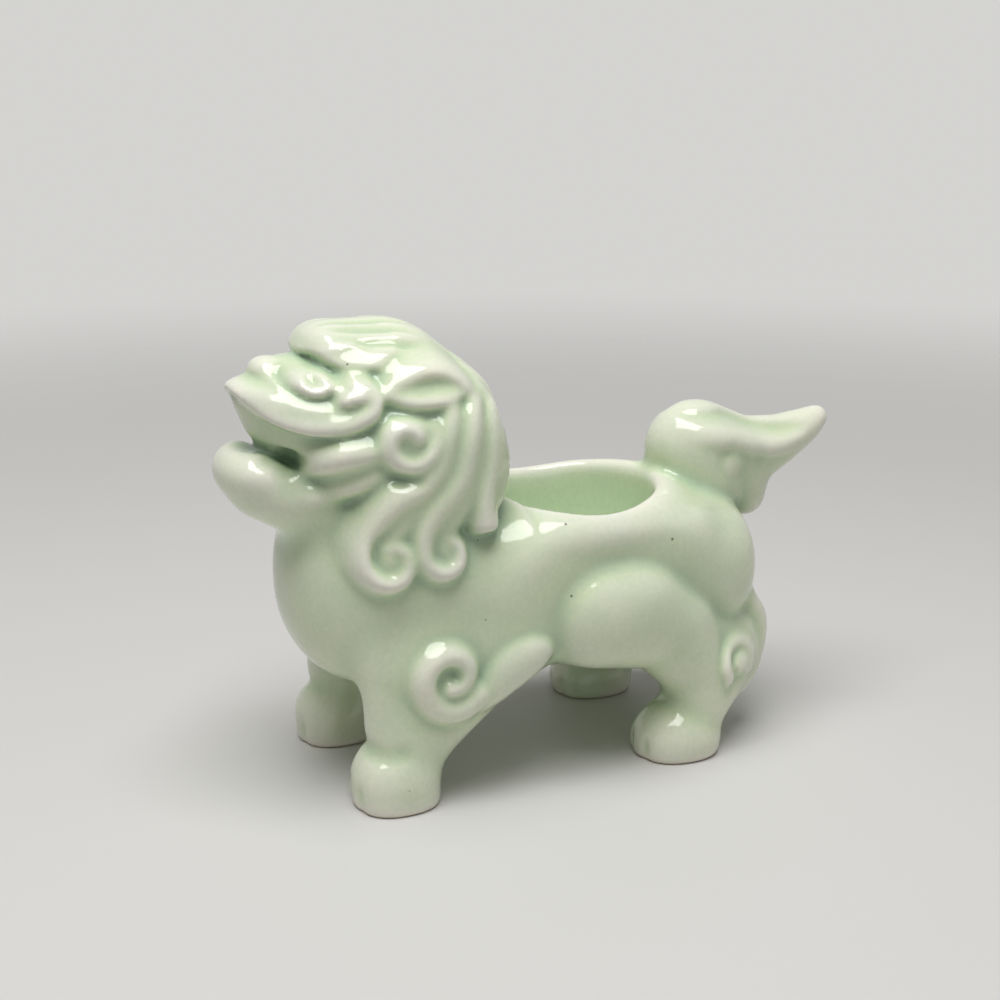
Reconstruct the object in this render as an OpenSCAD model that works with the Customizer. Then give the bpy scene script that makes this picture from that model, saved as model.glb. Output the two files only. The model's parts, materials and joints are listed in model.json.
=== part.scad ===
// Guardian lion candle holder in slip-cast, celadon-glazed ceramic.
// Millimetres. +Z is up, the head looks along -X, the lion's left is -Y,
// and the origin is on the table, below the middle of the whole figure.
// Each piece is a clay section or an applied sprig, cut to seat on the
// pieces that carry it, as leather-hard clay is before it is luted on.

/* [Torso] */
// Length of the torso from chest to rump
body_len = 122; // [118:1:126]
// Width of the torso
body_w = 60; // [57:1:63]
// Height of the torso from belly to back
body_h = 42; // [40:1:45]
// Height of the belly above the table
belly_z = 22; // [20:0.5:24]
// Thickness of the cast wall
wall = 4; // [3:0.5:5]
// Diameter of the vent hole under the belly
vent_d = 3.5; // [3:0.5:4]
// Diameter of the air passage from torso to head
neck_hole_d = 14; // [10:1:18]

/* [Candle cup] */
// Bore of the cup, for a votive candle
cup_d = 44.5; // [43:0.5:45.5]
// Depth of the cup from rim to floor
cup_depth = 24; // [18:1:26]
// Thickness of the cup's wall
cup_wall = 4; // [3:0.25:4.5]
// Thickness of the cup's floor
cup_floor = 3; // [2.5:0.5:5]
// Radius of the corner between the cup's wall and floor
cup_fillet = 3; // [1:0.5:5]
// Distance of the cup's axis behind the middle of the torso
cup_back = 11.5; // [11:0.25:12]
// Height of the rim above the top of the back
rim_rise = 0.5; // [0:0.25:1.5]
// Width of the sloped collar round the cup
collar_w = 3; // [2.5:0.25:4]
// Room for slip between the cup and the torso
lute_gap = 0.1; // [0.05:0.05:0.2]

/* [Head] */
// Length of the head from lower lip to nape
head_len = 61; // [59:0.5:61.5]
// Width of the head across the mane, without its locks
head_w = 53; // [51:1:56]
// Height of the head from the foot of the mane to the crown
head_h = 56; // [53:1:59]
// Height of the crown above the back
head_rise = 44; // [42:1:46]
// Reach of the lower lip in front of the chest
head_over = 13; // [12:0.5:15]
// Diameter of the rolls of the lips, brows and jowls
roll_d = 6.4; // [5.5:0.2:7]
// Length of an ear
ear_len = 21; // [18:1:23]
// Length of an eye
eye_len = 8.5; // [7:0.5:10]

/* [Mane] */
// Diameter of a lock of the mane at its root
lock_d = 6; // [5.5:0.25:6.5]
// Diameter of a lock at its tip
lock_tip_d = 4.6; // [4:0.2:5]
// How far the middle of a lock stands out from the surface that it follows
lock_rise = 0.4; // [0:0.2:1]

/* [Legs] */
// Distance from the front paws to the hind paws
wheelbase = 72; // [68:1:76]
// Distance of the front paws behind the chest
paw_setback = 20.5; // [18:0.5:23]
// Distance between the middles of the front paws
front_track = 42; // [39:1:45]
// Distance between the middles of the hind paws
hind_track = 45; // [42:1:48]
// Length of a paw
paw_len = 21; // [19:0.5:23]
// Width of a paw
paw_w = 20; // [18:0.5:21]
// Height of a paw
paw_h = 15; // [13:0.5:17]
// Thickness of a leg above the paw
leg_d = 18; // [16.5:0.5:19.5]

/* [Scrolls] */
// Diameter of the shoulder scroll along the middle of its band
scroll_d = 18; // [16:0.5:20]
// Thickness of the shoulder scroll's band
band_d = 6; // [5:0.5:7]
// Diameter of the hock scroll along the middle of its band
hock_d = 6; // [5:0.5:7]
// Thickness of the hock scroll's band
hock_band_d = 4.4; // [4:0.2:5]

/* [Tail] */
// Length of the tail from its root to its tip
tail_len = 52; // [49:1:53]
// Height of the tail
tail_h = 32; // [29:1:35]
// Width of the tail's root
tail_w = 22; // [19:1:25]
// Reach of the tail's tip behind the rump
tail_over = 27; // [25:1:30]
// Depth of the tail's foot below the top of the back
tail_drop = 14; // [12:1:16]

/* [Hidden] */

// Facets round a cord and round the cup
cord_sides = 8;
cup_sides = 96;
// Larger than the whole figure, for cutting away
beyond = 400;

glaze = [0.80, 0.90, 0.78];
glaze_deep = [0.66, 0.82, 0.68];

// Sizes of the grids on which the torso, head and tail are drawn
BODY_GRID = [122, 60, 42];
HEAD_GRID = [61, 53, 56];
TAIL_GRID = [52, 22, 32];

// Where the sections sit
back_z = belly_z + body_h;
body_x = (head_over - tail_over) / 2;
chest_x = body_x - body_len / 2;
rump_x = body_x + body_len / 2;
head_x = chest_x - head_over;
head_z = back_z + head_rise - head_h;
tail_x = rump_x + tail_over - tail_len;
tail_z = back_z - tail_drop;
cup_x = body_x + cup_back;
rim_z = back_z + rim_rise;
cup_r = cup_d / 2;
cup_out_r = cup_r + cup_wall;
cup_low_z = rim_z - cup_depth - cup_floor;
front_paw = [chest_x + paw_setback, -front_track / 2, 0];
hind_paw = [chest_x + paw_setback + wheelbase, -hind_track / 2, 0];

body_k = [body_len / BODY_GRID.x, body_w / BODY_GRID.y, body_h / BODY_GRID.z];
head_k = [head_len / HEAD_GRID.x, head_w / HEAD_GRID.y, head_h / HEAD_GRID.z];
tail_k = [tail_len / TAIL_GRID.x, tail_w / TAIL_GRID.y, tail_h / TAIL_GRID.z];

// Two vectors multiplied term by term
function times(a, b) = [a.x * b.x, a.y * b.y, a.z * b.z];

// A point drawn on a grid, in the figure's own frame
function body_at(p) = [body_x, 0, belly_z] + times(p, body_k);
function head_at(p) = [head_x, 0, head_z] + times(p, head_k);
function tail_at(p) = [tail_x, 0, tail_z] + times(p, tail_k);

// Rounded blocks are given as [centre, radii, exponent]
// An exponent of 2 makes an ellipsoid, and a larger one squares it up
function body_block(c, r, n = 2) = [body_at(c), times(r, body_k), n];
function head_block(c, r, n = 2) = [head_at(c), times(r, head_k), n];
function tail_block(c, r, n = 2) = [tail_at(c), times(r, tail_k), n];

// The same block made smaller by a wall all round
function inset(b, t) = [b[0], b[1] - [t, t, t], b[2]];

// Half the width of a block at a point of its side view
function block_y(b, x, z) =
    let (s = pow(abs(x - b[0].x) / b[1].x, b[2]) + pow(abs(z - b[0].z) / b[1].z, b[2]))
    b[1].y * pow(max(0, 1 - s), 1 / b[2]);

// Half the length of a block at a point of its back view
function block_x(b, y, z) =
    let (s = pow(abs(y - b[0].y) / b[1].y, b[2]) + pow(abs(z - b[0].z) / b[1].z, b[2]))
    b[1].x * pow(max(0, 1 - s), 1 / b[2]);

// Points of a cubic curve with end points a, d and handles b, c
function curve(a, b, c, d, steps) = [
    for (i = [0 : steps])
        let (t = i / steps, s = 1 - t)
        a * s * s * s + b * 3 * s * s * t + c * 3 * s * t * t + d * t * t * t
];

// Points of a flat spiral about c, from radius r0 at angle a0 to r1 at a1
function spiral(c, r0, r1, a0, a1, steps) = [
    for (i = [0 : steps])
        let (t = i / steps, r = r0 + (r1 - r0) * t, a = a0 + (a1 - a0) * t)
        c + r * [cos(a), sin(a)]
];

// A rounded block, with more facets the larger it is
module block(b) {
    sides = 2 * floor(4.5 + max(b[1]) / 3.2);
    rings = sides / 2;
    points = [
        for (j = [0 : rings], i = [0 : sides - 1])
            let (lat = -90 + 180 * j / rings, lon = 360 * i / sides)
            let (u = [cos(lat) * cos(lon), cos(lat) * sin(lon), sin(lat)], n = b[2])
            b[0] + times(b[1], u) * pow(pow(abs(u.x), n) + pow(abs(u.y), n) + pow(abs(u.z), n), -1 / n)
    ];
    hull() polyhedron(points, [
        for (j = [0 : rings - 1], i = [0 : sides - 1])
            let (k = (i + 1) % sides)
            [j * sides + i, (j + 1) * sides + i, (j + 1) * sides + k, j * sides + k]
    ]);
}

// Several blocks hulled together
module mass(blocks)
    hull() for (b = blocks) block(b);

// Blocks hulled in turn, each with the next
module chain(blocks)
    for (i = [0 : len(blocks) - 2])
        mass([blocks[i], blocks[i + 1]]);

// A cord through points, tapering from diameter d0 to d1
module cord(points, d0, d1) {
    steps = len(points) - 1;
    for (i = [0 : steps - 1])
        hull()
            for (k = [i, i + 1])
                translate(points[k])
                    sphere(d = d0 + (d1 - d0) * k / steps, $fn = cord_sides);
}

// What is drawn on the lion's left, or its mirror image on the right
module on_side(side)
    mirror([0, side == "right" ? 1 : 0, 0]) children();

// The blocks of the torso
chest = body_block([-38, 0, 26], [23, 25.5, 25], 2.3);
withers = body_block([-13.5, 0, 21.5], [22, 28.5, 20], 2.8);
loin = body_block([16.5, 0, 21], [22, 29, 20.5], 2.8);
rump = body_block([40, 0, 20.5], [21, 27, 21], 2.2);

// The torso midway between chest and withers
neck = (chest + withers) / 2;

// The trunk without its collar, or its cavity when a wall is taken off
module torso_hull(t = 0)
    chain([for (b = [chest, withers, loin, rump]) inset(b, t)]);

// The outer form of the torso, which swells up to the collar that carries the cup
module torso_form() {
    torso_hull();
    hull() {
        mass([withers, loin, rump]);
        translate([cup_x, 0, rim_z - cup_wall / 2 - collar_w])
            cylinder(r1 = cup_out_r + collar_w, r2 = cup_out_r + collar_w * 0.3, h = collar_w, $fn = 48);
    }
}

// The blocks of the head
mane_block = head_block([42.8, 0, 24], [18.5, 26.5, 23.5], 3.2);
crown_block = head_block([37, 0, 37.5], [19, 21, 18.5], 2.2);
forehead_block = head_block([27.5, 0, 48.5], [7.5, 14, 7]);

// The skull and mane, or their cavity when a wall is taken off
module skull_form(t = 0)
    mass([for (b = [mane_block, crown_block, forehead_block]) inset(b, t)]);

// The upper jaw: flat nose, lip drawn to a point, gum falling back under it
module muzzle_form()
    mass([
        head_block([14, 0, 45], [4.5, 5.5, 3.5]),
        head_block([20, 0, 44.5], [5, 9, 4.5]),
        head_block([5.5, 0, 41], [2.5, 4, 1.6]),
        head_block([11.5, -11, 37.5], [2.5, 3, 1.6]),
        head_block([11.5, 11, 37.5], [2.5, 3, 1.6]),
        head_block([19, -17, 36], [2.5, 3, 1.8]),
        head_block([19, 17, 36], [2.5, 3, 1.8]),
        head_block([15, 0, 34], [8.5, 11, 4.5]),
        head_block([31, 0, 38], [12, 19, 9])
    ]);

// The brow, along the edge of the cap of hair
module brow_form()
    cord([for (p = [[22.5, -4, 50], [23.5, -11, 48.5], [28.5, -17, 47.3], [36, -20.5, 47]]) head_at(p)],
        roll_d * 0.8, roll_d * 0.5);

// Half the width of the face along the lip
function lip_y(u) = 22.5 * pow(max(0, 1 - pow(abs(u - 34) / 32, 2.2)), 1 / 2.2);

// The back of the upper lip, curling up behind the eye
module lip_form() {
    flat = concat(
        curve([13, 36.5], [16, 35], [20, 34.5], [24, 35.5], 3),
        spiral([26.5, 41], 6, 2.2, -85, 210, 11));
    cord([for (p = flat) head_at([p.x, -lip_y(p.x), p.y])], roll_d * 0.62, roll_d * 0.62);
}

// The whole upper head before it is seated
module head_form() {
    skull_form();
    muzzle_form();
    for (side = ["left", "right"])
        on_side(side) {
            brow_form();
            lip_form();
        }
}

module head_shell()
    color(glaze) difference() {
        head_form();
        skull_form(wall);
        torso_form();
        cup_seat();
    }

// The lower jaw, with a full lip, the tongue rising to the gum and two jowls a side
module jaw_form() {
    chain([
        head_block([7, 0, 23], [7, 10.5, 7]),
        head_block([14, 0, 19], [11, 13.5, 8.5]),
        head_block([29, 0, 15], [13, 18, 12])
    ]);
    mass([
        head_block([9, 0, 25.5], [6, 6, 5]),
        head_block([18, 0, 27], [8, 8, 6])
    ]);
    for (side = ["left", "right"])
        on_side(side) {
            cord([for (p = [[13, -8, 21], [15.5, -14, 27], [20, -18, 28.8], [28, -22.5, 30]]) head_at(p)],
                roll_d * 0.9, roll_d);
            cord([for (p = [[17, -9, 18], [18.5, -14, 19], [24, -19, 22.5], [30, -23, 24.5]]) head_at(p)],
                roll_d * 0.8, roll_d * 0.9);
        }
}

module lower_jaw()
    color(glaze) difference() {
        jaw_form();
        head_form();
        torso_form();
    }

module eye(side)
    color(glaze) difference() {
        on_side(side) block([head_at([19, -13, 44.2]), eye_len * [0.5, 0.4, 0.33], 2]);
        head_form();
    }

// A leaf-shaped ear lying back, hollowed on its outer side
module ear_form() {
    root = head_at([36, -23, 41.5]);
    tip = head_at([49, -20.5, 41.5]);
    middle = (root + tip) / 2;
    difference() {
        mass([
            [root, ear_len * [0.16, 0.15, 0.13], 2],
            [middle + ear_len * [-0.03, 0.03, 0.1], ear_len * [0.26, 0.17, 0.17], 2],
            [tip, ear_len * [0.1, 0.13, 0.07], 2]
        ]);
        block([middle + ear_len * [-0.05, -0.22, 0.1], ear_len * [0.24, 0.12, 0.1], 2]);
    }
}

module ear(side)
    color(glaze) difference() {
        on_side(side) ear_form();
        head_form();
    }

// How far out the head and shoulders reach at a point of their side view
function cover_y(x, z) =
    max([for (b = [mane_block, chest, neck, withers]) max(block_y(b, x, z), b[1].y / 2)]);

// The middle of a lock over side-view point [u, w] of the head's grid
function side_point(u, w) =
    let (q = head_at([u, 0, w]))
    [q.x, -cover_y(q.x, q.z) - lock_rise, q.z];

// The middle of a lock on the back of the mane, at height w of the head's grid
function back_point(y, w) =
    let (q = head_at([0, 0, w]))
    [mane_block[0].x + block_x(mane_block, y, q.z) + lock_rise - lock_d * 0.15, y, q.z];

module side_lock(flat)
    cord([for (p = flat) side_point(p.x, p.y)], lock_d, lock_tip_d);

// The locks down the nape stand as close as their thickness allows
nape_reach = head_w * 0.348;
nape_steps = ceil((nape_reach - lock_d / 2) / (lock_d * 0.86));
nape_ys = [
    for (k = [0 : nape_steps])
        -lute_gap - lock_d / 2 - (nape_reach - lock_d / 2) * k / nape_steps
];

// The locks of one side fall from the edge of the cap of hair, each to its curl
module mane_form() {
    side_lock(concat(
        curve([48.5, 37], [48, 27], [37, 22], [26.3, 13.7], 7),
        spiral([31.8, 8], 7.7, 2, 135, 500, 12)));
    side_lock(concat(
        curve([53, 37], [53, 27], [43, 21], [39.2, 9.5], 7),
        spiral([45, 8], 6, 1.8, 165, 490, 10)));
    side_lock(curve([57, 37], [58.5, 29], [54, 20], [53, 8], 8));
    side_lock(concat(
        curve([44.5, 38.5], [45, 37], [44.5, 35], [43.5, 33], 3),
        spiral([36.3, 32.5], 7.2, 2.4, 5, -310, 12)));
    for (y = nape_ys)
        cord([for (w = [40 : -5 : 10]) back_point(y, w)], lock_d, lock_d);
    cord(concat(
        [for (u = [45.5, 49, 53, 57]) side_point(u, 37)],
        [for (k = [nape_steps : -1 : 0]) back_point(nape_ys[k], 37)]
    ), lock_d, lock_d);
}

module mane(side)
    color(glaze) difference() {
        on_side(side) mane_form();
        head_form();
        torso_form();
        jaw_form();
        on_side(side) ear_form();
        cup_seat();
    }

// A drum-shaped paw standing on the table
module paw_form(c)
    block([c + [0, 0, paw_h * 0.3], [paw_len / 2, paw_w / 2, paw_h * 0.7], 2.5]);

module under_table()
    translate([-beyond / 2, -beyond / 2, -beyond]) cube(beyond);

// Where the upper ends of the legs join the torso
shoulder = body_at([-32.5, -20.5, 9]);
elbow = body_at([-11.5, -21, 10]);
haunch = body_at([13.5, -20.5, 17.5]);
knee = body_at([28.5, -20.5, 11]);
hock = body_at([49.5, -15.5, 0]);

module foreleg_form() {
    ankle = [front_paw + [leg_d * 0.06, 0, paw_h * 0.9], leg_d * [0.56, 0.5, 0.3], 2];
    paw_form(front_paw);
    mass([[front_paw + [0, 0, paw_h * 0.45], leg_d * [0.52, 0.5, 0.2], 2], ankle]);
    mass([
        ankle,
        [shoulder, leg_d * [0.72, 0.5, 0.6], 2.3],
        [elbow, leg_d * [0.4, 0.44, 0.36], 2.3]
    ]);
    chain([
        [shoulder, leg_d * [0.7, 0.5, 0.6], 2],
        [body_at([-27.5, -12, 16]), leg_d * [0.8, 0.5, 0.6], 2]
    ]);
}

// A leg stands flat on the table
module foreleg(side)
    color(glaze) difference() {
        on_side(side) foreleg_form();
        torso_form();
        under_table();
    }

module hindleg_form() {
    heel = [hind_paw + [paw_len * 0.25, 0, paw_h * 0.75], leg_d * [0.5, 0.5, 0.35], 2];
    shank = [hind_paw + [paw_len * 0.12, 0, paw_h * 1.35], leg_d * [0.5, 0.5, 0.45], 2];
    paw_form(hind_paw);
    chain([
        [haunch, leg_d * [1.08, 0.78, 0.76], 2.2],
        [knee, leg_d * [0.72, 0.65, 0.64], 2],
        shank,
        heel
    ]);
    chain([
        [knee, leg_d * [0.6, 0.5, 0.6], 2],
        [hock, leg_d * [0.48, 0.5, 0.62], 2],
        heel
    ]);
    cord([
        hock + leg_d * [0.4, 0, 0.75],
        hock + leg_d * [0.55, 0, 0.35],
        hock + leg_d * [0.52, -0.05, -0.1],
        hock + leg_d * [0.25, -0.15, -0.6],
        heel[0] + leg_d * [0.4, -0.1, -0.2]
    ], leg_d * 0.34, leg_d * 0.3);
}

module hindleg(side)
    color(glaze) difference() {
        on_side(side) hindleg_form();
        torso_form();
        under_table();
    }

// The shoulder scroll, whose band runs back into a flame
module shoulder_scroll_form() {
    c = shoulder + leg_d * [0.12, -0.46, -0.04];
    k = scroll_d / 18;
    cord([for (p = spiral([c.x, c.z], scroll_d / 2, band_d * 0.4, -75, -395, 15)) [p.x, c.y, p.y]],
        band_d, band_d * 0.85);
    cord([
        for (p = curve([2.3, -8.7], [10, -7], [15, -2], [22, 5], 6))
            [c.x + p.x * k, c.y + p.x * 0.06, c.z + p.y * k]
    ], band_d, band_d * 1.4);
}

module shoulder_scroll(side)
    color(glaze_deep) difference() {
        on_side(side) shoulder_scroll_form();
        on_side(side) foreleg_form();
        torso_form();
    }

// A small scroll on the side of the hock
module hock_scroll_form() {
    c = hock + leg_d * [-0.1, -0.56, 0];
    cord([for (p = spiral([c.x, c.z], hock_d / 2, hock_d * 0.07, 190, -170, 10)) [p.x, c.y, p.y]],
        hock_band_d, hock_band_d);
}

module hock_scroll(side)
    color(glaze_deep) difference() {
        on_side(side) hock_scroll_form();
        on_side(side) hindleg_form();
        torso_form();
    }

// The tail: a round root, a plume swept back to a point and a small lobe under it
module tail_form() {
    root = tail_block([12.5, 0, 20], [12.8, 11, 11.8]);
    chain([
        root,
        tail_block([25, 0, 16.5], [10.5, 9, 10]),
        tail_block([37, 0, 19.2], [6, 6, 6.4]),
        tail_block([45, 0, 22.3], [3.8, 4.5, 4]),
        tail_block([49.9, 0, 25], [2.1, 2.4, 2.4])
    ]);
    chain([
        root,
        tail_block([25, 0, 12], [9, 8.5, 8]),
        tail_block([27.8, 0, 6.5], [5.5, 6, 6.3])
    ]);
}

module tail()
    color(glaze) difference() {
        tail_form();
        torso_form();
        cup_seat();
    }

// The room for the cup, and the way that is kept clear above it for the candle
module cup_seat()
    translate([cup_x, 0, cup_low_z - lute_gap]) {
        cylinder(r = cup_out_r + lute_gap, h = rim_z - cup_low_z + 2 * lute_gap, $fn = cup_sides);
        cylinder(r = cup_r + lute_gap, h = beyond, $fn = cup_sides);
    }

// A round cup with a rolled rim and a filleted floor
module candle_cup() {
    roll = cup_wall / 2;
    rim = [
        for (a = [0 : 15 : 180])
            [cup_r + roll, rim_z - roll] + roll * [cos(a), sin(a)]
    ];
    corner = [
        for (a = [0 : -15 : -90])
            [cup_r - cup_fillet, rim_z - cup_depth + cup_fillet] + cup_fillet * [cos(a), sin(a)]
    ];
    color(glaze) translate([cup_x, 0, 0])
        rotate_extrude($fn = cup_sides)
            polygon(concat(
                [[0, cup_low_z], [cup_out_r, cup_low_z]],
                rim,
                corner,
                [[0, rim_z - cup_depth]]));
}

module torso_shell()
    color(glaze) difference() {
        torso_form();
        torso_hull(wall);
        cup_seat();
        translate([body_x - cup_r, 0, 0])
            cylinder(d = vent_d, h = belly_z + body_h / 2, $fn = 32);
        translate([mane_block[0].x, 0, back_z - body_h / 2])
            cylinder(d = neck_hole_d, h = body_h, $fn = 32);
    }

torso_shell();
candle_cup();
head_shell();
lower_jaw();
tail();
eye("left");  // eye_left
eye("right");  // eye_right
ear("left");  // ear_left
ear("right");  // ear_right
mane("left");  // mane_left
mane("right");  // mane_right
foreleg("left");  // foreleg_left
foreleg("right");  // foreleg_right
hindleg("left");  // hindleg_left
hindleg("right");  // hindleg_right
shoulder_scroll("left");  // shoulder_scroll_left
shoulder_scroll("right");  // shoulder_scroll_right
hock_scroll("left");  // hock_scroll_left
hock_scroll("right");  // hock_scroll_right
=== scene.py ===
import json
import math

import bpy
import numpy as np
from mathutils import Matrix, Vector


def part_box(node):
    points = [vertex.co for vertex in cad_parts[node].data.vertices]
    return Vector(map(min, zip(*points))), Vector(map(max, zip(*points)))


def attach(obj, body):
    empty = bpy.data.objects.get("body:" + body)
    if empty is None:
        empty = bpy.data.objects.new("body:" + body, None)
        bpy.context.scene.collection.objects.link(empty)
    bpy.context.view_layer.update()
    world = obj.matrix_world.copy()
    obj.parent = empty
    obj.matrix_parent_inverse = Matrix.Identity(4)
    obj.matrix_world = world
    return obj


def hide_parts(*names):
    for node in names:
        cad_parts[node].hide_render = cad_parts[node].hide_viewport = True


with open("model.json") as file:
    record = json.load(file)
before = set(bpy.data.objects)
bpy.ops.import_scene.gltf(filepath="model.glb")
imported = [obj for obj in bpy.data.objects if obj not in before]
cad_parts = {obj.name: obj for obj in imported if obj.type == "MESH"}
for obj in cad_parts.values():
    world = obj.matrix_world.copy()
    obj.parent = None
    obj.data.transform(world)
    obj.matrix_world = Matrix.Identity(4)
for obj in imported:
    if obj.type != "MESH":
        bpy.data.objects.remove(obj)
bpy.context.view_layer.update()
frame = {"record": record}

# Places from the frame, in millimetres: the well and the paws are mounts of the record
MM = 1000.0
mounts = {mount["name"]: mount for mount in frame["record"]["mounts"]}


def in_mm(place):
    return np.round(MM * np.array(place), 3)


cup_low, cup_high = (in_mm(corner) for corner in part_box("candle_cup"))
CUP_X = float(in_mm(mounts["candle_well"]["pos_m"])[0])
CUP_R = float(mounts["candle_well"]["dims"]["r_mm"])
CUP_WALL = float(cup_high[0]) - CUP_X - CUP_R
CUP_BOTTOM, RIM_Z = float(cup_low[2]), float(cup_high[2])
CUP_FLOOR = CUP_BOTTOM + 3.0
FORE_PAW = in_mm(mounts["front_left_foot"]["pos_m"])
HIND_PAW = in_mm(mounts["hind_left_foot"]["pos_m"])

# The places that trunk, head and tail are measured from, as (X, Z)
BODY_AT = (-4.5, 22)
HEAD_AT = (-81, 52)
TAIL_AT = (29, 50)
# Thickness of a leg: the forms of the legs are set out in parts of it
LEG = 18.0
# Height of the cap of hair
HAIR = 2.0
# Radius of the rolled rim of the well, and how far the rim dips on both sides
RIM_ROLL = 2.6
RIM_DIP = 2.4

# The clay is modelled as distance fields on a grid, in millimetres, in the CAD frame.
# Only the lion's left half (Y < 0) is worked out: the right half is its mirror image.
STEP = 0.6
FAR = 9.0
HALF_LONG, TOP = 84.0, 111.0
HALF_CELLS = 65.5
TINY = 1e-6
X = np.arange(-HALF_LONG, HALF_LONG + 0.01, STEP, dtype=np.float32)
Y = np.arange(-HALF_CELLS * STEP, 0.0, STEP, dtype=np.float32)
Z = np.arange(-4 * STEP, TOP + 0.01, STEP, dtype=np.float32)
SHAPE = (len(X), len(Y), len(Z))


# Working with fields


def empty():
    return np.full(SHAPE, FAR, np.float32)


def window(low, high, pad):
    """The part of the grid between two corners, with room round it."""
    slices = []
    for axis, a, b in zip((X, Y, Z), low, high):
        i = int(np.searchsorted(axis, a - pad))
        j = int(np.searchsorted(axis, b + pad))
        slices.append(slice(max(i, 0), max(j, 1)))
    return tuple(slices)


def coords(w):
    return X[w[0]][:, None, None], Y[w[1]][None, :, None], Z[w[2]][None, None, :]


def clipped(field):
    return np.clip(field, -FAR, FAR)


def join(a, b, fillet):
    """Union of two fields with a fillet of about this width."""
    low = np.minimum(a, b)
    if fillet <= 0:
        return low
    h = np.maximum(fillet - np.abs(a - b), 0) / fillet
    return low - h * h * (fillet / 4)


def cut(a, b, fillet):
    """Field a with field b taken away, its edge rounded."""
    return -join(-a, b, fillet)


def both(a, b, fillet):
    """What is inside both fields, its edge rounded."""
    return -join(-a, -b, fillet)


def blur(field, soft):
    """A field or a side view, softened over this many millimetres."""
    reach = int(math.ceil(2.6 * soft / STEP))
    weights = np.exp(-0.5 * (np.arange(-reach, reach + 1) * STEP / soft) ** 2)
    weights = (weights / weights.sum()).astype(np.float32)
    for axis in range(field.ndim):
        pads = [(0, 0)] * field.ndim
        pads[axis] = (reach, reach)
        padded = np.pad(field, pads, mode="symmetric")
        size = field.shape[axis]
        total = np.zeros_like(field)
        for i, weight in enumerate(weights):
            part = [slice(None)] * field.ndim
            part[axis] = slice(i, i + size)
            total += weight * padded[tuple(part)]
        field = total
    return field


# A block is a rounded form: centre, radii and the exponent that makes it round (2) or boxy


def block_distance(x, y, z, c, r, n):
    """About the distance to a superellipsoid with centre c, radii r and exponent n."""
    qx, qy, qz = np.abs(x - c[0]) / r[0], np.abs(y - c[1]) / r[1], np.abs(z - c[2]) / r[2]
    if n == 2:
        g = np.sqrt(qx * qx + qy * qy + qz * qz) + TINY
        slope = np.sqrt((qx / r[0]) ** 2 + (qy / r[1]) ** 2 + (qz / r[2]) ** 2) / g
    else:
        g = (qx ** n + qy ** n + qz ** n) ** (1 / n) + TINY
        m = n - 1
        slope = np.sqrt((qx ** m / r[0]) ** 2 + (qy ** m / r[1]) ** 2 + (qz ** m / r[2]) ** 2)
        slope = slope * g ** (1 - n)
    return (g - 1) / (slope + TINY)


def add_block(field, block, fillet=0.0, pad=5.0):
    c, r, n = block
    w = window([c[i] - r[i] for i in range(3)], [c[i] + r[i] for i in range(3)], pad)
    field[w] = join(field[w], block_distance(*coords(w), c, r, n), fillet)
    return field


def between(a, b, t):
    """The block at t on the way from block a to block b."""
    centre, radii = (tuple((1 - t) * i + t * j for i, j in zip(p, q)) for p, q in zip(a[:2], b[:2]))
    return centre, radii, (1 - t) * a[2] + t * b[2]


def add_sweep(field, a, b, spacing=2.5):
    gap = math.dist(a[0], b[0])
    steps = max(2, int(math.ceil(gap / spacing)))
    for i in range(steps + 1):
        add_block(field, between(a, b, i / steps))
    return field


def add_chain(field, blocks, spacing=2.5):
    for a, b in zip(blocks, blocks[1:]):
        add_sweep(field, a, b, spacing)
    return field


def add_tube(field, points, radii, pad=4.5):
    """A round cord through points."""
    points = [np.asarray(p, float) for p in points]
    for (a, b), (ra, rb) in zip(zip(points, points[1:]), zip(radii, radii[1:])):
        big = max(ra, rb)
        w = window(np.minimum(a, b) - big, np.maximum(a, b) + big, pad)
        x, y, z = coords(w)
        d = b - a
        size = max(float(d @ d), 1e-9)
        t = np.clip(((x - a[0]) * d[0] + (y - a[1]) * d[1] + (z - a[2]) * d[2]) / size, 0, 1)
        away = (x - a[0] - t * d[0]) ** 2 + (y - a[1] - t * d[1]) ** 2 + (z - a[2] - t * d[2]) ** 2
        field[w] = join(field[w], np.sqrt(away) - (ra + (rb - ra) * t), 0.0)
    return field


# Curves


def smooth_path(points, per=8):
    """A smooth curve through points of any dimension."""
    p = np.asarray(points, float)
    p = np.vstack([2 * p[0] - p[1], p, 2 * p[-1] - p[-2]])
    out = []
    for i in range(1, len(p) - 2):
        for t in np.arange(per) / per:
            a, b, c, d = p[i - 1], p[i], p[i + 1], p[i + 2]
            out.append(0.5 * (2 * b + (c - a) * t + (2 * a - 5 * b + 4 * c - d) * t * t
                              + (3 * b - a - 3 * c + d) * t ** 3))
    return np.array(out + [p[-2]])


def curve(points, at):
    """Smooth values through (place, value) points, level beyond the ends."""
    p = smooth_path(points)
    return np.interp(at, p[:, 0], p[:, 1])


def curl(centre, start, end, wide, high, steps=9):
    """A spiral band for a stroke: start and end are (radius, angle), wide and high (first, last)."""
    t = np.linspace(0, 1, steps + 1)
    radius, angle, half, rise = (a + (b - a) * t for a, b in (*zip(start, end), wide, high))
    angle = np.radians(angle)
    across = centre[0] + radius * np.cos(angle)
    up = centre[1] + radius * np.sin(angle)
    return tuple(zip(across, up, half, rise))


def step_up(t):
    t = np.clip(t, 0, 1)
    return t * t * (3 - 2 * t)


def rise(value, start, over):
    """0 up to start, then smoothly up to 1 over this distance."""
    return step_up((value - start) / over)


# Relief is drawn in side view as heights over the form

x, y, z = coords((slice(None),) * 3)
side_x, side_z = X[:, None], Z[None, :]
# How the section of a band is rounded: full, round or plain
FULL, ROUND, PLAIN = 0.55, 0.7, 1.0


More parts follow.
